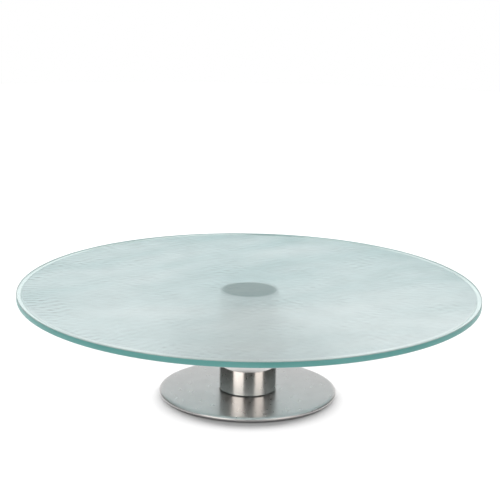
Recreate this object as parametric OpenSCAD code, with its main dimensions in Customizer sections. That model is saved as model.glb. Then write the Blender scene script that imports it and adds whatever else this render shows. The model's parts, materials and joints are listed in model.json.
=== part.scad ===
// Cake turntable: a glass plate on a polished column that turns on a fixed spindle.
// Z is up, the origin is on the axis of rotation, on the surface that the turntable stands on.

/* [Plate] */
// Diameter of the glass plate
plate_d = 300; // [250:1:340]
// Thickness of the glass
plate_t = 4; // [3:0.5:8]
// Size of the ground arris on both edges of the glass
plate_arris = 0.4; // [0.2:0.1:1]
// Height of the top of the glass
total_h = 71.3; // [69:0.1:110]

/* [Column] */
// Outer diameter of the column
column_d = 38; // [35:0.5:50]
// Wall of the column sleeve
sleeve_wall = 1.5; // [1:0.25:2.5]
// Thickness of the disc that the glass is bonded to
disc_t = 5; // [4:0.5:8]
// Thickness of the bond under the glass
bond_t = 0.15; // [0.1:0.05:0.5]
// Running gap between the column and the base
column_gap = 0.5; // [0.3:0.1:1.5]

/* [Base] */
// Diameter of the base
base_d = 116.4; // [90:0.2:160]
// Height of the base's rim, without the foot
rim_h = 2.6; // [2.6:0.1:6]
// Radius of the rim's rounded edges
rim_r = 1.2; // [0.3:0.1:1.2]
// Sheet thickness of the base shell
skin_t = 0.6; // [0.4:0.1:0.7]
// Width of the hem that holds the ballast in the shell
hem_w = 3; // [2:0.5:6]
// Thickness of the hem and of the bottom cover beside it
cover_t = 0.6; // [0.5:0.1:0.6]
// How far the rubber foot stands below the rim
foot_h = 0.6; // [0.4:0.1:3]
// Outer diameter of the rubber foot
foot_d = 106; // [60:1:106]
// Width of the rubber foot
foot_w = 5; // [3:0.5:10]

/* [Spindle] */
// Diameter of the spindle's flange
flange_d = 30; // [28:0.5:32]
// Thickness of the flange
flange_t = 4; // [3:0.5:6]
// Length of the spacers between the bearings
spacer_l = 17; // [5:1:20]

/* [Fasteners] */
// Number of screws in each ring of screws
screw_count = 3; // [3:1:4]
// Thread diameter of the screws
screw_d = 3; // [2.5:0.5:3]

/* [Hidden] */

$fn = 96;
// Depth by which a cutting shape runs past the face that it cuts
cut = 1;

// Heights, from the ground up
rim_z = foot_h;
base_top_z = rim_z + rim_h;
skin_z = base_top_z - skin_t;
ballast_z = rim_z + cover_t;
sleeve_z = base_top_z + column_gap;
plate_z = total_h - plate_t;
bond_z = plate_z - bond_t;
disc_z = bond_z - disc_t;
flange_top_z = base_top_z + flange_t;

// Plate, bond and mounting disc
bond_inset = 1.25;
disc_chamfer = 0.3;
sleeve_edge = 0.25;

// Deep-groove ball bearing of the common 8 x 22 x 7 size
bearing_bore_r = 4;
bearing_r = 11;
bearing_w = 7;
ball_r = 1.9845;
ball_count = 7;
pitch_r = 7.5;
race_clearance = 0.05;
inner_race_r = 6.05;
outer_race_r = 8.95;
shield_r = 9.4;
shield_bore_r = 6.35;
shield_t = 0.3;
shield_inset = 0.3;
cage_r = 8.4;
cage_bore_r = 6.6;
cage_below = 2.5;
cage_above = 0.9;
pocket_clearance = 0.1;

// Bearing carrier: a blind bore that takes both bearings from below
ring_t = 1;
ring_groove_r = 11.5;
ring_width = 1.6;
ring_gap = 50;
ring_lug_r = 1.5;
ring_lug_hole_r = 0.7;
ring_lug_turn = 5;
carrier_lip = 2;
pocket_h = 11;
waist_depth = 1.75;
collar_h = 5.6;
lower_z = flange_top_z + collar_h;
upper_z = lower_z + bearing_w + spacer_l;
bore_top_z = upper_z + bearing_w;
ring_z = lower_z - ring_t;
carrier_z = ring_z - carrier_lip;
pocket_r = 9.3;
pocket_top_z = bore_top_z + pocket_h;
carrier_r = column_d / 2 - sleeve_wall;
waist_r = carrier_r - waist_depth;
land_h = 8;
spacer_wall = 1.5;
inner_spacer_r = 5.9;

// Spindle and its nut
spigot_r = 6;
spigot_gap = 0.05;
collar_r = 5.75;
flange_chamfer = 0.4;
spindle_end_h = 6.5;
spindle_end_z = bore_top_z + spindle_end_h;
spindle_chamfer = 0.8;
washer_t = 1;
washer_r = 6;
nut_t = 4;
nut_across_flats = 13;
nut_chamfer = 0.6;

// Screws
shank_r = screw_d / 2;
hole_gap = 0.1;
screw_key = 2;
key_depth = 1;
flange_screw_pcd = 20;
csk_r = 2.9;
csk_h = 1.3;
flange_screw_top_z = flange_top_z - 0.6;
flange_hole_top_z = flange_top_z - 0.3;
access_r = 3.4;
disc_screw_pcd = 11.5;
head_r = 2.75;
head_h = 3;
disc_screw_top_z = disc_z + 3.6;
disc_hole_top_z = disc_z + 4;

// Foot
foot_root = 0.3;
foot_edge = 0.3;

// Gaps round the pieces inside the shell
ballast_gap = 0.1;
cover_gap = 0.2;

// A straight tube between two heights; a bore of 0 leaves it solid.
module tube(r, bore_r, z0, z1) {
    translate([0, 0, z0])
        difference() {
            cylinder(r = r, h = z1 - z0);
            if (bore_r > 0)
                translate([0, 0, -cut])
                    cylinder(r = bore_r, h = z1 - z0 + 2 * cut);
        }
}

// A disc with the same chamfer on both outer edges.
module chamfered_disc(r, z0, z1, chamfer) {
    rotate_extrude()
        polygon([
            [0, z0],
            [r - chamfer, z0],
            [r, z0 + chamfer],
            [r, z1 - chamfer],
            [r - chamfer, z1],
            [0, z1]
        ]);
}

// Copies its children at equal steps round a circle.
module around(count, pcd) {
    for (i = [0 : count - 1])
        rotate([0, 0, i * 360 / count])
            translate([pcd / 2, 0, 0])
                children();
}

// ---- the plate and its mounting ----

module glass_plate() {
    color([0.72, 0.86, 0.86, 0.6])
        chamfered_disc(plate_d / 2, plate_z, total_h, plate_arris);
}

module bond_film() {
    color([0.78, 0.8, 0.8])
        tube(column_d / 2 - bond_inset, 0, bond_z, plate_z);
}

module mounting_disc() {
    color([0.72, 0.73, 0.74])
        difference() {
            chamfered_disc(column_d / 2, disc_z, bond_z, disc_chamfer);
            around(screw_count, disc_screw_pcd)
                tube(shank_r, 0, disc_z - cut, disc_hole_top_z);
        }
}

// One cap screw that points up, with its key socket underneath.
module cap_screw(head_z, top_z) {
    difference() {
        union() {
            tube(head_r, 0, head_z - head_h, head_z);
            tube(shank_r, 0, head_z, top_z);
        }
        translate([0, 0, head_z - head_h - cut])
            cylinder(r = screw_key / sqrt(3), h = key_depth + cut, $fn = 6);
    }
}

module disc_screws() {
    color([0.25, 0.25, 0.27])
        around(screw_count, disc_screw_pcd)
            cap_screw(pocket_top_z, disc_screw_top_z);
}

// ---- the column ----

module hub_sleeve() {
    r_out = column_d / 2;
    r_in = r_out - sleeve_wall;
    color([0.82, 0.82, 0.83])
        rotate_extrude()
            polygon([
                [r_in, sleeve_z],
                [r_out - sleeve_edge, sleeve_z],
                [r_out, sleeve_z + sleeve_edge],
                [r_out, disc_z - sleeve_edge],
                [r_out - sleeve_edge, disc_z],
                [r_in, disc_z]
            ]);
}

module bearing_carrier() {
    color([0.8, 0.81, 0.82])
        difference() {
            union() {
                tube(carrier_r, 0, carrier_z, carrier_z + land_h);
                tube(waist_r, 0, carrier_z + land_h, disc_z - land_h);
                tube(carrier_r, 0, disc_z - land_h, disc_z);
            }
            tube(bearing_r, 0, carrier_z - cut, bore_top_z);
            tube(ring_groove_r, 0, ring_z, lower_z);
            tube(pocket_r, 0, bore_top_z - cut, pocket_top_z);
            around(screw_count, disc_screw_pcd)
                tube(shank_r + hole_gap, 0, pocket_top_z - cut, disc_z + cut);
        }
}

module outer_spacer() {
    color([0.6, 0.61, 0.63])
        tube(bearing_r, bearing_r - spacer_wall, lower_z + bearing_w, upper_z);
}

// Internal circlip: an open ring with a lug and a plier hole at each end.
module retaining_ring() {
    lug_at = ring_groove_r - ring_width - ring_lug_r / 2;
    color([0.3, 0.3, 0.32])
        translate([0, 0, ring_z])
            linear_extrude(height = ring_t)
                difference() {
                    union() {
                        difference() {
                            circle(r = ring_groove_r);
                            circle(r = ring_groove_r - ring_width);
                            polygon([
                                [0, 0],
                                2 * ring_groove_r * [cos(ring_gap / 2), -sin(ring_gap / 2)],
                                2 * ring_groove_r * [cos(ring_gap / 2), sin(ring_gap / 2)]
                            ]);
                        }
                        for (side = [-1, 1])
                            rotate(side * (ring_gap / 2 + ring_lug_turn))
                                translate([lug_at, 0])
                                    circle(r = ring_lug_r);
                    }
                    for (side = [-1, 1])
                        rotate(side * (ring_gap / 2 + ring_lug_turn))
                            translate([lug_at, 0])
                                circle(r = ring_lug_hole_r);
                }
}

// ---- the ball bearings: each module is given the height of the bearing's lower face ----

// The ring that the balls roll in, cut out of both races.
module ball_groove(z) {
    translate([0, 0, z + bearing_w / 2])
        rotate_extrude()
            translate([pitch_r, 0])
                circle(r = ball_r + race_clearance);
}

module outer_race(z) {
    recess_h = shield_inset + shield_t;
    color([0.75, 0.76, 0.78])
        difference() {
            tube(bearing_r, outer_race_r, z, z + bearing_w);
            tube(shield_r, 0, z - cut, z + recess_h);
            tube(shield_r, 0, z + bearing_w - recess_h, z + bearing_w + cut);
            ball_groove(z);
        }
}

module inner_race(z) {
    color([0.75, 0.76, 0.78])
        difference() {
            tube(inner_race_r, bearing_bore_r, z, z + bearing_w);
            ball_groove(z);
        }
}

module shields(z) {
    color([0.66, 0.67, 0.69])
        for (face = [z + shield_inset, z + bearing_w - shield_inset - shield_t])
            tube(shield_r, shield_bore_r, face, face + shield_t);
}

module balls(z) {
    color([0.85, 0.85, 0.87])
        translate([0, 0, z + bearing_w / 2])
            around(ball_count, 2 * pitch_r)
                sphere(r = ball_r);
}

// Crown cage: a ring that is open above the balls.
module cage(z) {
    mid = z + bearing_w / 2;
    color([0.87, 0.85, 0.78])
        difference() {
            tube(cage_r, cage_bore_r, mid - cage_below, mid + cage_above);
            translate([0, 0, mid])
                around(ball_count, 2 * pitch_r)
                    sphere(r = ball_r + pocket_clearance);
        }
}

module upper_outer_race() { outer_race(upper_z); }
module upper_shields() { shields(upper_z); }
module upper_cage() { cage(upper_z); }
module upper_balls() { balls(upper_z); }
module upper_inner_race() { inner_race(upper_z); }

module lower_outer_race() { outer_race(lower_z); }
module lower_shields() { shields(lower_z); }
module lower_cage() { cage(lower_z); }
module lower_balls() { balls(lower_z); }
module lower_inner_race() { inner_race(lower_z); }

// ---- the spindle ----

module spindle() {
    color([0.62, 0.63, 0.65])
        difference() {
            union() {
                tube(spigot_r, 0, ballast_z, base_top_z + cut);
                chamfered_disc(flange_d / 2, base_top_z, flange_top_z, flange_chamfer);
                tube(collar_r, 0, flange_top_z - cut, lower_z);
                tube(bearing_bore_r, 0, lower_z - cut, spindle_end_z - spindle_chamfer);
                translate([0, 0, spindle_end_z - spindle_chamfer])
                    cylinder(
                        r1 = bearing_bore_r,
                        r2 = bearing_bore_r - spindle_chamfer,
                        h = spindle_chamfer
                    );
            }
            around(screw_count, flange_screw_pcd)
                tube(shank_r, 0, base_top_z - cut, flange_hole_top_z);
        }
}

module inner_spacer() {
    color([0.6, 0.61, 0.63])
        tube(inner_spacer_r, bearing_bore_r, lower_z + bearing_w, upper_z);
}

module spindle_washer() {
    color([0.7, 0.71, 0.72])
        tube(washer_r, bearing_bore_r, bore_top_z, bore_top_z + washer_t);
}

// Thin hexagon nut with its corners turned off at both faces.
module spindle_nut() {
    nut_z = bore_top_z + washer_t;
    corner_r = nut_across_flats / sqrt(3);
    color([0.7, 0.71, 0.72])
        difference() {
            intersection() {
                translate([0, 0, nut_z])
                    cylinder(r = corner_r, h = nut_t, $fn = 6);
                chamfered_disc(corner_r, nut_z, nut_z + nut_t, nut_chamfer);
            }
            tube(bearing_bore_r, 0, nut_z - cut, nut_z + nut_t + cut);
        }
}

// ---- the base ----

// Half section of the shell's outside, rounded at both edges of the rim.
module rim_section() {
    r_out = base_d / 2;
    translate([0, rim_z])
        square([r_out - rim_r, rim_h]);
    translate([0, rim_z + rim_r])
        square([r_out, rim_h - 2 * rim_r]);
    for (z = [rim_z + rim_r, base_top_z - rim_r])
        translate([r_out - rim_r, z])
            circle(r = rim_r);
}

module base_shell() {
    color([0.78, 0.78, 0.78])
        difference() {
            rotate_extrude()
                rim_section();
            tube(base_d / 2 - skin_t, 0, ballast_z, skin_z);
            tube(base_d / 2 - hem_w, 0, rim_z - cut, ballast_z + cut);
            tube(spigot_r + spigot_gap, 0, skin_z - cut, base_top_z + cut);
            around(screw_count, flange_screw_pcd)
                tube(shank_r + hole_gap, 0, skin_z - cut, base_top_z + cut);
        }
}

module ballast_plate() {
    color([0.45, 0.46, 0.48])
        difference() {
            tube(base_d / 2 - skin_t - ballast_gap, spigot_r + spigot_gap, ballast_z, skin_z);
            around(screw_count, flange_screw_pcd) {
                tube(shank_r + hole_gap, 0, ballast_z - cut, skin_z + cut);
                translate([0, 0, ballast_z])
                    cylinder(r1 = csk_r, r2 = shank_r + hole_gap, h = csk_h);
            }
        }
}

// Countersunk screws that hold the shell and the ballast to the flange.
module flange_screws() {
    color([0.25, 0.25, 0.27])
        around(screw_count, flange_screw_pcd)
            difference() {
                union() {
                    translate([0, 0, ballast_z])
                        cylinder(r1 = csk_r, r2 = shank_r, h = csk_h);
                    tube(shank_r, 0, ballast_z + csk_h, flange_screw_top_z);
                }
                translate([0, 0, ballast_z - cut])
                    cylinder(r = screw_key / sqrt(3), h = key_depth + cut, $fn = 6);
            }
}

module bottom_cover() {
    color([0.12, 0.12, 0.13])
        difference() {
            tube(base_d / 2 - hem_w - cover_gap, 0, rim_z, ballast_z);
            tube(foot_d / 2, foot_d / 2 - foot_w, rim_z - cut, rim_z + foot_root);
            around(screw_count, flange_screw_pcd)
                tube(access_r, 0, rim_z - cut, ballast_z + cut);
        }
}

// Rubber ring whose root sits in the groove of the bottom cover.
module foot_ring() {
    r_out = foot_d / 2;
    r_in = r_out - foot_w;
    color([0.16, 0.16, 0.16])
        rotate_extrude()
            polygon([
                [r_in + foot_edge, 0],
                [r_out - foot_edge, 0],
                [r_out, foot_edge],
                [r_out, rim_z + foot_root],
                [r_in, rim_z + foot_root],
                [r_in, foot_edge]
            ]);
}

glass_plate();
bond_film();
mounting_disc();
disc_screws();
hub_sleeve();
bearing_carrier();
outer_spacer();
retaining_ring();
upper_outer_race();
upper_shields();
upper_cage();
upper_balls();
upper_inner_race();
lower_outer_race();
lower_shields();
lower_cage();
lower_balls();
lower_inner_race();
spindle();
inner_spacer();
spindle_washer();
spindle_nut();
base_shell();
ballast_plate();
flange_screws();
bottom_cover();
foot_ring();
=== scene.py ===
"""The looks of the cake turntable: a rippled glass plate, a polished column and a satin base."""

import json
import math

import bmesh
import bpy
import numpy as np
from mathutils import Matrix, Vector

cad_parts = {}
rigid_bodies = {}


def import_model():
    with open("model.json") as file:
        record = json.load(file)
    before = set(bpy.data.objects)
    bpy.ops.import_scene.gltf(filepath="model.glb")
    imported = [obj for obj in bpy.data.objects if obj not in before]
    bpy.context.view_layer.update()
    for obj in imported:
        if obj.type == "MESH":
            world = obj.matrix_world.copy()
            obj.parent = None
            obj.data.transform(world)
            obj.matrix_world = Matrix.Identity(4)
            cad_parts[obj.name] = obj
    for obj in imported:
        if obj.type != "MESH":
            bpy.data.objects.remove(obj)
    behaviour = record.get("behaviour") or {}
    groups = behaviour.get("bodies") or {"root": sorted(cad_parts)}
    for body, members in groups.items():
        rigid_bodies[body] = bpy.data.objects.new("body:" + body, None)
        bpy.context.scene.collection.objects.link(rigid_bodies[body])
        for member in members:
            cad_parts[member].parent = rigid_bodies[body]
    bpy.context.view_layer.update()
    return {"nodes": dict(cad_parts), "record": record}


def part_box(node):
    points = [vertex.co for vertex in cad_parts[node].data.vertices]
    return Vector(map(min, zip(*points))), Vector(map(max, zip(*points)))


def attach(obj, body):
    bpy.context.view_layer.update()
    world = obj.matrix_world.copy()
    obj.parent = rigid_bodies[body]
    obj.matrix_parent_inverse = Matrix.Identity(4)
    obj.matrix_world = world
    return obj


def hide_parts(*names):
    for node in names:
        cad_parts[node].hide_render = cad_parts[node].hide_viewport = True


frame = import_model()

MM = 0.001
SEED = 7

# ---- sizes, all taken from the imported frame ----

plate_low, plate_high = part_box("glass_plate")
PLATE_R = plate_high.x
PLATE_Z = plate_low.z
PLATE_TOP = plate_high.z
sleeve_low, sleeve_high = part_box("hub_sleeve")
COLUMN_R = sleeve_high.x
disc_low, disc_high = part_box("mounting_disc")
shell_low, shell_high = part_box("base_shell")
BASE_R = shell_high.x
COVER_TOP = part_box("bottom_cover")[1].z
FOOT_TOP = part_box("foot_ring")[1].z


# ---- mesh helpers ----

def add_object(name, mesh):
    piece = bpy.data.objects.new(name, mesh)
    bpy.context.scene.collection.objects.link(piece)
    return piece


def shade(mesh, angle=40):
    """Smooth shading with hard edges where faces meet at more than the angle."""
    mesh.polygons.foreach_set("use_smooth", [True] * len(mesh.polygons))
    mesh.set_sharp_from_angle(angle=math.radians(angle))


def arc(centre_r, centre_z, radius, start, end, steps):
    """Points of a round stretch of a half section, with angles in degrees from the outward direction."""
    turns = np.radians(np.linspace(start, end, steps + 1))
    return [(centre_r + radius * math.cos(t), centre_z + radius * math.sin(t)) for t in turns]


def lathe(name, section, segments, angle=40):
    """Revolves a closed half section, given anticlockwise as (radius, height), into a closed mesh."""
    bm = bmesh.new()
    rings = []
    for r, z in section:
        if r < 1e-9:
            rings.append([bm.verts.new((0, 0, z))])
            continue
        turns = (math.tau * i / segments for i in range(segments))
        rings.append([bm.verts.new((r * math.cos(t), r * math.sin(t), z)) for t in turns])
    for k, here in enumerate(rings):
        there = rings[(k + 1) % len(rings)]
        if len(here) == 1 and len(there) == 1:
            continue
        for i in range(segments):
            j = (i + 1) % segments
            if len(here) == 1:
                bm.faces.new((here[0], there[j], there[i]))
            elif len(there) == 1:
                bm.faces.new((here[i], here[j], there[0]))
            else:
                bm.faces.new((here[i], here[j], there[j], there[i]))
    bmesh.ops.recalc_face_normals(bm, faces=bm.faces)
    mesh = bpy.data.meshes.new(name)
    bm.to_mesh(mesh)
    bm.free()
    shade(mesh, angle)
    return add_object(name, mesh)


# ---- material helpers ----

def new_material(name, **sockets):
    """A Principled material with plain values on its sockets; returns it with its nodes and shader."""
    material = bpy.data.materials.new(name)
    material.use_nodes = True
    tree = material.node_tree
    shader = tree.nodes["Principled BSDF"]
    for socket, value in sockets.items():
        shader.inputs[socket.replace("_", " ")].default_value = value
    return material, tree, shader


def node(tree, kind, **inputs):
    """A new shader node with plain values on its sockets."""
    made = tree.nodes.new(kind)
    for socket, value in inputs.items():
        made.inputs[socket.replace("_", " ")].default_value = value
    return made


def object_point(tree, stretch=(1, 1, 1), turn=0):
    """The object's own coordinates, stretched per axis after a turn in degrees about Z."""
    place = tree.nodes.new("ShaderNodeTexCoord")
    scaled = tree.nodes.new("ShaderNodeMapping")
    scaled.vector_type = "TEXTURE"
    scaled.inputs["Rotation"].default_value = (0, 0, math.radians(turn))
    scaled.inputs["Scale"].default_value = tuple(1 / s for s in stretch)
    tree.links.new(place.outputs["Object"], scaled.inputs["Vector"])
    return scaled.outputs["Vector"]


def noise(tree, point, scale, detail=3.0, rough=0.5):
    """Cloudy noise around 0.5; its scale is in features per metre."""
    made = node(tree, "ShaderNodeTexNoise", Scale=scale, Detail=detail, Roughness=rough)
    tree.links.new(point, made.inputs["Vector"])
    return made.outputs["Fac"]


def spread(tree, value, low, high, start=0.3, end=0.7):
    """A noise value between start and end, spread from low to high."""
    made = tree.nodes.new("ShaderNodeMapRange")
    made.inputs["From Min"].default_value = start
    made.inputs["From Max"].default_value = end
    made.inputs["To Min"].default_value = low
    made.inputs["To Max"].default_value = high
    tree.links.new(value, made.inputs["Value"])
    return made.outputs["Result"]


def two_tone(tree, value, dark, light, start=0.3, end=0.7):
    """A colour from dark to light as the value goes from start to end."""
    made = tree.nodes.new("ShaderNodeValToRGB")
    made.color_ramp.elements[0].position = start
    made.color_ramp.elements[0].color = (*dark, 1)
    made.color_ramp.elements[1].position = end
    made.color_ramp.elements[1].color = (*light, 1)
    tree.links.new(value, made.inputs["Fac"])
    return made.outputs["Color"]


def bump(tree, shader, height, distance):
    """Relief of a height from 0 to 1 times the distance."""
    made = node(tree, "ShaderNodeBump", Strength=1.0, Distance=distance)
    tree.links.new(height, made.inputs["Height"])
    tree.links.new(made.outputs["Normal"], shader.inputs["Normal"])


def radius_of(tree, point):
    """Distance from the axis of rotation."""
    flat = tree.nodes.new("ShaderNodeVectorMath")
    flat.operation = "MULTIPLY"
    flat.inputs[1].default_value = (1, 1, 0)
    tree.links.new(point, flat.inputs[0])
    length = tree.nodes.new("ShaderNodeVectorMath")
    length.operation = "LENGTH"
    tree.links.new(flat.outputs["Vector"], length.inputs[0])
    return length.outputs["Value"]


def math_node(tree, operation, *values):
    """One step of arithmetic on numbers and node outputs."""
    made = tree.nodes.new("ShaderNodeMath")
    made.operation = operation
    for i, value in enumerate(values):
        if isinstance(value, (int, float)):
            made.inputs[i].default_value = value
        else:
            tree.links.new(value, made.inputs[i])
    return made.outputs["Value"]


def by_radius(tree, point, inner_r, outer_r, inside, outside):
    """A colour that changes from inside to outside between two radii."""
    share = tree.nodes.new("ShaderNodeMapRange")
    share.interpolation_type = "SMOOTHSTEP"
    share.inputs["From Min"].default_value = inner_r
    share.inputs["From Max"].default_value = outer_r
    tree.links.new(radius_of(tree, point), share.inputs["Value"])
    mixed = tree.nodes.new("ShaderNodeMix")
    mixed.data_type = "RGBA"
    tree.links.new(share.outputs["Result"], mixed.inputs["Factor"])
    for socket, colour in (("A", inside), ("B", outside)):
        if isinstance(colour, tuple):
            mixed.inputs[socket].default_value = (*colour, 1)
        else:
            tree.links.new(colour, mixed.inputs[socket])
    return mixed.outputs["Result"]


def turned_marks(tree, point, spacing):
    """Fine rings round the axis, as a lathe or a polishing wheel leaves them."""
    rings = math_node(tree, "MULTIPLY", radius_of(tree, point), 1 / spacing)
    along = tree.nodes.new("ShaderNodeCombineXYZ")
    tree.links.new(rings, along.inputs["X"])
    return noise(tree, along.outputs["Vector"], 1.0, detail=4.0, rough=0.7)


# ---- materials ----

GLASS_IOR = 1.52
SATIN_BORDER = (146.3 * MM, 146.8 * MM)
BOND_FADE = (15.4 * MM, 17.6 * MM)


def make_clear_glass():
    """The smooth margin of the plate."""
    material, tree, shader = new_material(
        "clear_glass", Transmission_Weight=1.0, IOR=GLASS_IOR,
        Base_Color=(0.67, 0.81, 0.80, 1), Roughness=0.03)
    point = object_point(tree)
    smears = spread(tree, noise(tree, point, 35), 0.015, 0.06)
    tree.links.new(smears, shader.inputs["Roughness"])
    return material


def make_rippled_glass():
    """The hammered top of the plate: its ripple is in the mesh, its polish varies softly, and its tint
    varies in soft cloudy patches, partly random tone and partly painted reflection.
    """
    material, tree, shader = new_material(
        "rippled_glass", Transmission_Weight=0.92, IOR=GLASS_IOR, Roughness=0.1)
    point = object_point(tree)
    # painted reflection: soft cloudy patches of lighter and greyer tint, mixed with random tone
    clouds_and_painted_light = noise(tree, object_point(tree, (0.3, 1, 1), 12), 26, detail=2.0)
    tint = two_tone(tree, clouds_and_painted_light, (0.47, 0.665, 0.67), (0.68, 0.805, 0.805), 0.15, 0.85)
    tree.links.new(tint, shader.inputs["Base Color"])
    tree.links.new(spread(tree, noise(tree, point, 60), 0.12, 0.2), shader.inputs["Roughness"])
    return material


def make_satin_glass():
    """The etched underside of the plate. Its tint has long soft streaks, partly random tone and partly
    painted reflection, and a painted shade slope that is lighter towards the front and darker towards the
    back at rest. A darker line runs at its border.
    """
    material, tree, shader = new_material(
        "satin_glass", Transmission_Weight=0.74, IOR=GLASS_IOR, Roughness=0.34)
    point = object_point(tree)
    # painted shade: a slope across the plate, lighter towards the front and darker towards the back, added
    # to the streaks
    painted_shade_slope = tree.nodes.new("ShaderNodeSeparateXYZ")
    tree.links.new(object_point(tree, (3, 3, 1), -80), painted_shade_slope.inputs["Vector"])
    streaks = noise(tree, object_point(tree, (0.28, 1, 1), 45), 24, detail=2.0)
    streaks = spread(tree, streaks, 0.32, 0.68, 0.35, 0.65)
    clouds_and_painted_light = math_node(tree, "ADD", streaks, painted_shade_slope.outputs["X"])
    # the dark end of this tint is painted shade at the back of the plate, the light end painted light at
    # the front
    tint = two_tone(tree, clouds_and_painted_light, (0.28, 0.49, 0.50), (0.84, 0.895, 0.89), 0.0, 0.8)
    tint = by_radius(tree, point, *SATIN_BORDER, tint, (0.40, 0.54, 0.54))
    tree.links.new(tint, shader.inputs["Base Color"])
    tree.links.new(spread(tree, noise(tree, point, 45), 0.29, 0.39), shader.inputs["Roughness"])
    bump(tree, shader, noise(tree, point, 900, detail=2.0), 0.02 * MM)
    return material


def make_green_edge():
    """The ground edge between the arrises, where the glass shows its green depth."""
    material, tree, shader = new_material(
        "green_edge", IOR=GLASS_IOR, Roughness=0.35)
    point = object_point(tree, (1, 1, 6))
    tone = noise(tree, point, 28, detail=3.0)
    tint = two_tone(tree, tone, (0.10, 0.365, 0.335), (0.135, 0.42, 0.395))
    tree.links.new(tint, shader.inputs["Base Color"])
    tree.links.new(spread(tree, noise(tree, point, 240), 0.28, 0.42), shader.inputs["Roughness"])
    return material


def make_ground_arris():
    """The narrow bevels that a diamond wheel leaves between the faces and the edge."""
    material, tree, shader = new_material("ground_arris", IOR=GLASS_IOR, Roughness=0.5)
    point = object_point(tree)
    tint = two_tone(tree, noise(tree, point, 300), (0.36, 0.47, 0.455), (0.45, 0.54, 0.525))
    tree.links.new(tint, shader.inputs["Base Color"])
    bump(tree, shader, noise(tree, point, 2500, detail=2.0), 0.01 * MM)
    return material


def make_bond():
    """Cured adhesive, paler towards its thin outer edge."""
    material, tree, shader = new_material("bond", Roughness=0.5)
    point = object_point(tree)
    mottle = noise(tree, point, 120, detail=4.0)
    tint = two_tone(tree, mottle, (0.095, 0.195, 0.19), (0.16, 0.265, 0.26))
    tint = by_radius(tree, point, *BOND_FADE, tint, (0.26, 0.37, 0.37))
    tree.links.new(tint, shader.inputs["Base Color"])
    return material


def make_metal(name, dark, light, roughness, spacing=None, depth=0.0, grain=700):
    """Metal with a slightly uneven tone and polish, and turned rings where a spacing is given."""
    material, tree, shader = new_material(name, Metallic=1.0)
    point = object_point(tree)
    tree.links.new(two_tone(tree, noise(tree, point, 90), dark, light), shader.inputs["Base Color"])
    low, high = roughness
    tree.links.new(spread(tree, noise(tree, point, grain), low, high), shader.inputs["Roughness"])
    if spacing:
        bump(tree, shader, turned_marks(tree, point, spacing), depth)
    elif depth:
        bump(tree, shader, noise(tree, point, grain, detail=4.0), depth)
    return material


def make_matt(name, dark, light, roughness, grain, depth):
    """Plastic or rubber with a fine moulded grain."""
    material, tree, shader = new_material(name)
    point = object_point(tree)
    tree.links.new(two_tone(tree, noise(tree, point, 60), dark, light), shader.inputs["Base Color"])
    low, high = roughness
    tree.links.new(spread(tree, noise(tree, point, grain), low, high), shader.inputs["Roughness"])
    bump(tree, shader, noise(tree, point, grain, detail=3.0), depth)
    return material


CLEAR_GLASS = make_clear_glass()
RIPPLED_GLASS = make_rippled_glass()
SATIN_GLASS = make_satin_glass()
GREEN_EDGE = make_green_edge()
GROUND_ARRIS = make_ground_arris()
BOND = make_bond()
POLISHED = make_metal(
    "polished_steel", (0.66, 0.645, 0.63), (0.70, 0.685, 0.67), (0.02, 0.05), grain=400)
SATIN = make_metal(
    "satin_steel", (0.64, 0.63, 0.622), (0.68, 0.67, 0.662), (0.27, 0.31),
    0.35 * MM, 0.0011 * MM, grain=250)
ALUMINIUM = make_metal(
    "turned_aluminium", (0.70, 0.71, 0.72), (0.80, 0.81, 0.82), (0.2, 0.32), 0.25 * MM, 0.01 * MM)
STEEL = make_metal(
    "plated_steel", (0.46, 0.47, 0.48), (0.58, 0.59, 0.60), (0.22, 0.36), depth=0.004 * MM)
BEARING_STEEL = make_metal(
    "ground_steel", (0.56, 0.57, 0.58), (0.66, 0.67, 0.68), (0.06, 0.14), 0.2 * MM, 0.002 * MM)
BLACK_STEEL = make_metal(
    "black_oxide", (0.035, 0.035, 0.04), (0.09, 0.09, 0.095), (0.3, 0.45), depth=0.004 * MM)
NYLON = make_matt("nylon", (0.70, 0.67, 0.57), (0.80, 0.77, 0.68), (0.42, 0.56), 1500, 0.01 * MM)
PLASTIC = make_matt(
    "black_plastic", (0.018, 0.018, 0.02), (0.03, 0.03, 0.033), (0.45, 0.6), 1800, 0.02 * MM)
RUBBER = make_matt(
    "rubber", (0.012, 0.012, 0.012), (0.028, 0.028, 0.028), (0.7, 0.85), 1200, 0.02 * MM)

SLOT_MATERIALS = {
    "glass": SATIN_GLASS,
    "bond": BOND,
    "polished_steel": POLISHED,
    "satin_steel": SATIN,
    "aluminium": ALUMINIUM,
    "steel": STEEL,
    "bearing_steel": BEARING_STEEL,
    "black_steel": BLACK_STEEL,
    "nylon": NYLON,
    "black_plastic": PLASTIC,
    "rubber": RUBBER,
}


def dress(piece, *materials):
    """Gives a piece its materials. Clearing resets the slot of every face, so a new mesh,
    which has none yet, isn't cleared."""
    if piece.data.materials:
        piece.data.materials.clear()
    for material in materials:
        piece.data.materials.append(material)


def dress_cad_nodes():
    for part in frame["record"]["subparts"]:
        dress(frame["nodes"][part["node"]], SLOT_MATERIALS[part["material_slot"]])


def settle(piece, body, replaced):
    """Puts a piece on its body in place of a CAD node."""
    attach(piece, body)
    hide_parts(replaced)


# ---- the glass plate ----

MARGIN = 3.0 * MM
ARRIS = 0.4 * MM
RIM_SEGMENTS = 840
RING_STEP = 1.1 * MM
RIPPLE = 0.02 * MM
SWELL = 0.10 * MM
WRINKLES = 190
WRINKLE_BEND = 2.2
WRINKLE_START = 118 * MM
WRINKLE_RISE = 26 * MM
ROUGH_SIDE = 205
ARRIS_MIDDLE = (0.05 * MM, 0.28 * MM)
UNDERSIDE_RINGS = (110 * MM, 75 * MM, 40 * MM)
BOND_R = 17.75 * MM
BOND_LIFT = 0.02 * MM


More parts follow.
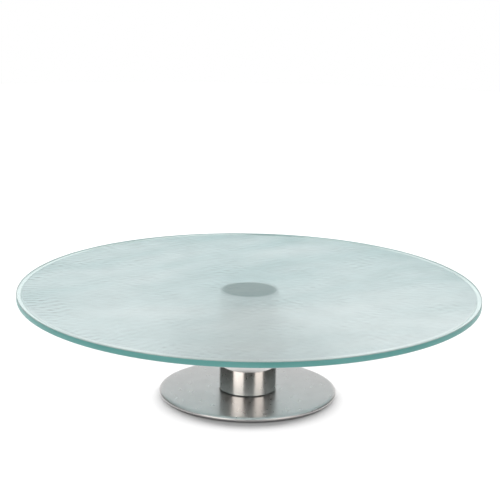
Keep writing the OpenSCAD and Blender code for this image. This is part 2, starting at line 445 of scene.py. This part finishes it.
def random_waves(points, count, shortest, longest, rng):
    """A smooth random surface of plane waves that run in every direction, about 1 high."""
    total = np.zeros(len(points))
    for _ in range(count):
        way, phase = rng.uniform(0, math.tau, 2)
        k = math.tau / rng.uniform(shortest, longest)
        total += np.cos(k * (points[:, 0] * math.cos(way) + points[:, 1] * math.sin(way)) + phase)
    return total * math.sqrt(2 / count)


def ripple_height(points):
    """Height of the hammered surface: fine ripple, wrinkles that run outwards near the rim, long swells."""
    rng = np.random.default_rng(SEED)
    r = np.hypot(points[:, 0], points[:, 1])
    turn = np.arctan2(points[:, 1], points[:, 0])
    fine = random_waves(points, 48, 4.0 * MM, 8.0 * MM, rng)
    patches = random_waves(points, 10, 30 * MM, 60 * MM, rng)
    bend = random_waves(points, 10, 18 * MM, 40 * MM, rng)
    outward = np.cos(WRINKLES * turn + WRINKLE_BEND * bend)
    near_rim = np.clip((r - WRINKLE_START) / WRINKLE_RISE, 0, 1)
    swell = random_waves(points, 8, 70 * MM, 130 * MM, rng)
    fade = np.clip((PLATE_R - MARGIN - r) / (1.5 * MM), 0, 1)
    fade = fade * fade * (3 - 2 * fade)
    rough_side = 0.5 + 0.5 * np.cos(turn - math.radians(ROUGH_SIDE))
    strength = 0.4 + 0.5 * np.clip(patches, 0, 1) ** 2 + 1.6 * near_rim * rough_side ** 2
    mix = fine * (1 - 0.5 * near_rim) + 0.8 * near_rim * outward
    return fade * (RIPPLE * strength * mix + SWELL * swell - 1.5 * RIPPLE)


def ring_sizes(edge_r):
    """Radii from the edge to the middle, with a number of segments that halves as the rings shrink."""
    sizes = [(edge_r, RIM_SEGMENTS)]
    count = round(edge_r / RING_STEP)
    segments = RIM_SEGMENTS
    for k in range(count - 1, 0, -1):
        r = edge_r * k / count
        while r < 0.5 * edge_r * segments / RIM_SEGMENTS and segments % 2 == 0 and segments > 15:
            segments //= 2
        sizes.append((r, segments))
    return sizes


def bridge(bm, outer, inner, upward, slot):
    """Faces between two rings of a disc; the inner one has as many points, or half as many."""
    share = len(outer) // len(inner)
    for i in range(len(inner)):
        a, b = inner[i], inner[(i + 1) % len(inner)]
        if share == 1:
            loops = [(outer[i], outer[(i + 1) % len(outer)], b, a)]
        else:
            p, q, s = (outer[(2 * i + n) % len(outer)] for n in range(3))
            loops = [(p, q, a), (q, b, a), (q, s, b)]
        for loop in loops:
            face = bm.faces.new(loop if upward else loop[::-1])
            face.material_index = slot


def ring_of_points(bm, r, z, segments):
    """New vertices evenly round the axis."""
    turns = (math.tau * i / segments for i in range(segments))
    return [bm.verts.new((r * math.cos(t), r * math.sin(t), z)) for t in turns]


def disc_face(bm, rings, upward, slot_of):
    """A disc of concentric rings with a fan in the middle."""
    for k in range(len(rings) - 1):
        bridge(bm, rings[k], rings[k + 1], upward, slot_of(k))
    middle = rings[-1]
    centre = bm.verts.new((0, 0, middle[0].co.z))
    for i in range(len(middle)):
        loop = (middle[i], middle[(i + 1) % len(middle)], centre)
        face = bm.faces.new(loop if upward else loop[::-1])
        face.material_index = slot_of(len(rings) - 1)


def make_plate():
    """The whole glass plate as one closed mesh, with a material slot for each kind of surface."""
    clear, rippled, satin, edge, arris, bond = range(6)
    bm = bmesh.new()
    sizes = ring_sizes(PLATE_R - ARRIS)
    top = [ring_of_points(bm, r, PLATE_TOP, n) for r, n in sizes]
    smooth_r = PLATE_R - MARGIN + 0.2 * MM
    disc_face(bm, top, True, lambda k: clear if sizes[k][0] > smooth_r else rippled)
    surface = list(bm.verts)
    heights = ripple_height(np.array([v.co[:] for v in surface]))
    for vertex, height in zip(surface, heights):
        vertex.co.z += height
    # the ground edge between its two arrises
    inset, drop = ARRIS_MIDDLE
    section = [
        (PLATE_R - inset, PLATE_TOP - drop),
        (PLATE_R, PLATE_TOP - ARRIS),
        (PLATE_R, PLATE_Z + ARRIS),
        (PLATE_R - inset, PLATE_Z + drop),
        (PLATE_R - ARRIS, PLATE_Z),
    ]
    sides = [top[0]] + [ring_of_points(bm, r, z, RIM_SEGMENTS) for r, z in section]
    for k in range(len(sides) - 1):
        bridge(bm, sides[k + 1], sides[k], True, edge if k == 2 else arris)
    # the underside: clear margin, etched field, and the bonded patch a hair inside the glass
    radii = [PLATE_R - MARGIN, *UNDERSIDE_RINGS, BOND_R]
    under = [sides[-1]] + [ring_of_points(bm, r, PLATE_Z, RIM_SEGMENTS) for r in radii]
    under += [ring_of_points(bm, BOND_R - 0.02 * MM, PLATE_Z + BOND_LIFT, RIM_SEGMENTS)]
    kinds = [clear, satin, satin, satin, satin, bond, bond]
    disc_face(bm, under, False, lambda k: kinds[k])
    mesh = bpy.data.meshes.new("rippled_plate")
    bm.to_mesh(mesh)
    bm.free()
    shade(mesh, 30)
    piece = add_object("rippled_plate", mesh)
    dress(piece, CLEAR_GLASS, RIPPLED_GLASS, SATIN_GLASS, GREEN_EDGE, GROUND_ARRIS, BOND)
    settle(piece, "turntable", "glass_plate")
    return piece


# ---- the column ----

COLUMN_SEGMENTS = 256
SLEEVE_WALL = 1.5 * MM


def make_sleeve():
    edge = 0.25 * MM
    low, high = sleeve_low.z, sleeve_high.z
    bore = COLUMN_R - SLEEVE_WALL
    section = [(bore, high), (bore, low)]
    section += arc(COLUMN_R - edge, low + edge, edge, -90, 0, 4)
    section += arc(COLUMN_R - edge, high - edge, edge, 0, 90, 4)
    piece = lathe("polished_sleeve", section, COLUMN_SEGMENTS, angle=50)
    dress(piece, POLISHED)
    settle(piece, "turntable", "hub_sleeve")


def make_mounting_disc():
    edge = 0.3 * MM
    low, high = disc_low.z, disc_high.z
    section = [(0, high), (0, low)]
    section += arc(COLUMN_R - edge, low + edge, edge, -90, 0, 4)
    section += arc(COLUMN_R - edge, high - edge, edge, 0, 90, 4)
    piece = lathe("turned_disc", section, COLUMN_SEGMENTS, angle=50)
    dress(piece, ALUMINIUM)
    settle(piece, "turntable", "mounting_disc")


# ---- the base ----

BASE_SEGMENTS = 384
RIM_ROUND = 0.8 * MM
CROWN_WIDTH = 2.8 * MM
CROWN_DROP = 1.3 * MM
SKIN = 0.6 * MM
HEM = 3.0 * MM
SPIGOT_HOLE = 6.05 * MM
CROWN_STEPS = 15
SHELL_RINGS = (50, 40, 30, 20, 12)
FOOT_OUTER = 53 * MM
FOOT_INNER = 48 * MM


def make_shell():
    """The pressed base: a flat top, a crowned rim and a rolled hem."""
    low, high = shell_low.z, shell_high.z
    inside = BASE_R - SKIN
    section = [(SPIGOT_HOLE, high), (SPIGOT_HOLE, high - SKIN), (inside - 0.3 * MM, high - SKIN)]
    section += [(inside, high - SKIN - 0.3 * MM), (inside, COVER_TOP)]
    section += arc(BASE_R - HEM + 0.2 * MM, low + 0.35 * MM, 0.35 * MM, 90, 270, 8)
    section += arc(BASE_R - RIM_ROUND, low + RIM_ROUND, RIM_ROUND, -90, 0, 8)
    for turn in np.radians(np.linspace(0, 90, CROWN_STEPS)):
        section.append((
            BASE_R - CROWN_WIDTH * (1 - math.cos(turn)), high - CROWN_DROP * (1 - math.sin(turn))))
    section += [(r * MM, high) for r in SHELL_RINGS]
    piece = lathe("pressed_shell", section, BASE_SEGMENTS, angle=50)
    dress(piece, SATIN)
    settle(piece, "base", "base_shell")
    return piece


def make_foot():
    edge = 0.3 * MM
    section = [(FOOT_INNER, FOOT_TOP)]
    section += arc(FOOT_INNER + edge, edge, edge, 180, 270, 4)
    section += arc(FOOT_OUTER - edge, edge, edge, 270, 360, 4)
    section += [(FOOT_OUTER, FOOT_TOP)]
    piece = lathe("moulded_foot", section, BASE_SEGMENTS, angle=50)
    dress(piece, RUBBER)
    settle(piece, "base", "foot_ring")
    return piece


# ---- the studio ----

FLOOR_R = 1.4
FLOOR_SEGMENTS = 128


def make_floor():
    """A plain pale disc for the turntable to stand on."""
    material, tree, shader = new_material("studio_floor", Roughness=0.9)
    tone = noise(tree, object_point(tree), 0.6)
    tint = two_tone(tree, tone, (0.90, 0.90, 0.90), (0.92, 0.92, 0.92))
    tree.links.new(tint, shader.inputs["Base Color"])
    shader.inputs["Specular IOR Level"].default_value = 0.0
    turns = [math.tau * i / FLOOR_SEGMENTS for i in range(FLOOR_SEGMENTS)]
    mesh = bpy.data.meshes.new("studio_floor")
    mesh.from_pydata(
        [(FLOOR_R * math.cos(t), FLOOR_R * math.sin(t), 0) for t in turns], [], [range(FLOOR_SEGMENTS)])
    floor = add_object("studio_floor", mesh)
    dress(floor, material)
    return floor


def ramp(tree, value, stops):
    """Grey levels at positions from 0 to 1, joined by straight stretches."""
    made = tree.nodes.new("ShaderNodeValToRGB")
    elements = made.color_ramp.elements
    while len(elements) > 1:
        elements.remove(elements[-1])
    for i, (position, colour) in enumerate(stops):
        element = elements[0] if i == 0 else elements.new(position)
        element.position = position
        element.color = (*colour, 1)
    tree.links.new(value, made.inputs["Fac"])
    return made.outputs["Color"]


SKY_LEVEL = 0.38
SKY_LEAN = 0.15
DARK, SIDE, SWEEP = (0.08, 0.075, 0.07), (0.14, 0.135, 0.13), (1.0, 1.0, 1.0)
# left and right softbox, as seen low down and higher up
SOFTBOXES = (
    ((1.5, 1.4, 1.32), (1.2, 1.11, 1.04)),
    ((4.2, 3.9, 3.7), (3.2, 2.95, 2.76)),
)
SOFTBOX_LIFT = ((0.0, (0, 0, 0)), (0.22, (0, 0, 0)), (0.36, (1, 1, 1)))
OVERHEAD = (2.0, 2.0, 2.0, 1)
OVERHEAD_START = ((0.0, (0, 0, 0)), (0.6, (0, 0, 0)), (0.8, (1, 1, 1)))
FALL = ((0.0, (1, 1, 1)), (0.2, (0.98, 0.98, 0.98)), (0.6, (0.55, 0.55, 0.56)), (1.0, (0.5, 0.5, 0.5)))


def mix_colours(tree, share, first, second, blend="MIX"):
    """The first colour blended towards the second; each is plain or a node's output."""
    made = tree.nodes.new("ShaderNodeMix")
    made.data_type = "RGBA"
    made.blend_type = blend
    for socket, value in (("Factor", share), ("A", first), ("B", second)):
        if isinstance(value, (float, tuple)):
            made.inputs[socket].default_value = value
        else:
            tree.links.new(value, made.inputs[socket])
    return made.outputs["Result"]


def room_bands(left, right):
    """The room round the object, by degrees from the front; positions run from 0 to 1."""
    bands = [
        (-180, SWEEP), (-152, SWEEP), (-146, SIDE), (-62, DARK),
        (-57, left), (-20, left), (-15, DARK),
        (27, DARK), (32, right), (61, right), (66, DARK),
        (146, SIDE), (152, SWEEP), (180, SWEEP),
    ]
    return [(degrees / 360 + 0.5, colour) for degrees, colour in bands]


def make_world():
    """White to the camera. Mirrors see a white sweep at the back and a dark room with two softboxes
    in front. Matt surfaces are lit by a plain even sky."""
    world = bpy.data.worlds.new("studio")
    bpy.context.scene.world = world
    world.use_nodes = True
    world.cycles.sampling_method = "NONE"
    tree = world.node_tree
    tree.nodes.clear()
    out = tree.nodes.new("ShaderNodeOutputWorld")
    way = tree.nodes.new("ShaderNodeTexCoord").outputs["Generated"]
    parts = tree.nodes.new("ShaderNodeSeparateXYZ")
    tree.links.new(way, parts.inputs["Vector"])
    x, y, z = (parts.outputs[axis] for axis in "XYZ")
    turn = math_node(tree, "ARCTAN2", x, math_node(tree, "MULTIPLY", y, -1.0))
    turn = math_node(tree, "ADD", math_node(tree, "MULTIPLY", turn, 1 / math.tau), 0.5)

    levels = [ramp(tree, turn, room_bands(left, right)) for left, right in SOFTBOXES]
    around = mix_colours(tree, ramp(tree, z, SOFTBOX_LIFT), levels[0], levels[1])
    above = mix_colours(tree, ramp(tree, z, OVERHEAD_START), around, OVERHEAD)
    mirrored = mix_colours(tree, 1.0, above, ramp(tree, z, FALL), "MULTIPLY")

    lean = math_node(tree, "SUBTRACT", 1.0, math_node(tree, "MULTIPLY", x, SKY_LEAN))
    sky = math_node(tree, "MULTIPLY", lean, SKY_LEVEL)

    path = tree.nodes.new("ShaderNodeLightPath")
    matt = math_node(tree, "GREATER_THAN", path.outputs["Diffuse Depth"], 0.5)
    lights = []
    for colour, strength in ((mirrored, 1.0), (None, sky), (None, 1.0)):
        light = tree.nodes.new("ShaderNodeBackground")
        if colour is None:
            light.inputs["Color"].default_value = (1, 1, 1, 1)
        else:
            tree.links.new(colour, light.inputs["Color"])
        if isinstance(strength, float):
            light.inputs["Strength"].default_value = strength
        else:
            tree.links.new(strength, light.inputs["Strength"])
        lights.append(light.outputs["Background"])
    shown = lights[0]
    for ray, light in ((matt, lights[1]), (path.outputs["Is Camera Ray"], lights[2])):
        choice = tree.nodes.new("ShaderNodeMixShader")
        tree.links.new(ray, choice.inputs["Fac"])
        tree.links.new(shown, choice.inputs[1])
        tree.links.new(light, choice.inputs[2])
        shown = choice.outputs["Shader"]
    tree.links.new(shown, out.inputs["Surface"])


# width, height, place, turn about X in degrees, power
BACK_PANELS = (
    (14.0, 1.6, (0, 6, 1.05), -80, 1640),
    (14.0, 2.7, (0, 6, 1.65), -70, 1105),
)
TOP_PANEL = (2.0, 2.0, (0, 0, 3), 0, 52)


def make_panels(panels, lit, shading):
    """Softboxes for the lit objects alone, with only the shading ones in the way."""
    groups = {"receiver_collection": lit, "blocker_collection": shading}
    for role, members in groups.items():
        groups[role] = bpy.data.collections.new(role)
        for member in members:
            groups[role].objects.link(member)
    for width, height, place, turn, power in panels:
        light = bpy.data.lights.new("softbox", "AREA")
        light.shape = "RECTANGLE"
        light.size, light.size_y = width, height
        light.energy = power
        softbox = add_object("softbox", light)
        softbox.location = place
        softbox.rotation_euler = (math.radians(turn), 0, 0)
        softbox.visible_camera = softbox.visible_glossy = softbox.visible_transmission = False
        for role, group in groups.items():
            setattr(softbox.light_linking, role, group)


CAMERA_DISTANCE = 0.971
CAMERA_HEIGHT = 0.3462
CAMERA_PITCH = 14.40
CAMERA_ROLL = 1.0
CAMERA_LENS = 111.75


def make_camera():
    lens = bpy.data.cameras.new("camera")
    lens.sensor_width = 36.0
    lens.lens = CAMERA_LENS
    lens.clip_end = 100.0
    camera = add_object("camera", lens)
    pitch, roll = math.radians(CAMERA_PITCH), math.radians(CAMERA_ROLL)
    level = Matrix.Rotation(math.pi / 2 - pitch, 4, "X")
    camera.matrix_world = (
        Matrix.Translation((0, -CAMERA_DISTANCE, CAMERA_HEIGHT)) @ level @ Matrix.Rotation(roll, 4, "Z"))
    bpy.context.scene.camera = camera
    bpy.context.scene.view_settings.view_transform = "Standard"


def spare_floor():
    """Light that matt surfaces gather passes the glass and the column, so that only the base
    shades the floor."""
    for piece in bpy.context.scene.objects:
        if piece.name in ("rippled_plate", "polished_sleeve", "turned_disc"):
            piece.visible_diffuse = False
    for name in frame["record"]["behaviour"]["bodies"]["turntable"]:
        frame["nodes"][name].visible_diffuse = False


make_camera()
make_world()
floor = make_floor()
dress_cad_nodes()
plate = make_plate()
make_sleeve()
make_mounting_disc()
base = [make_shell(), make_foot(), frame["nodes"]["bottom_cover"]]
make_panels(BACK_PANELS, [floor], base)
make_panels([TOP_PANEL], [plate], base)
spare_floor()
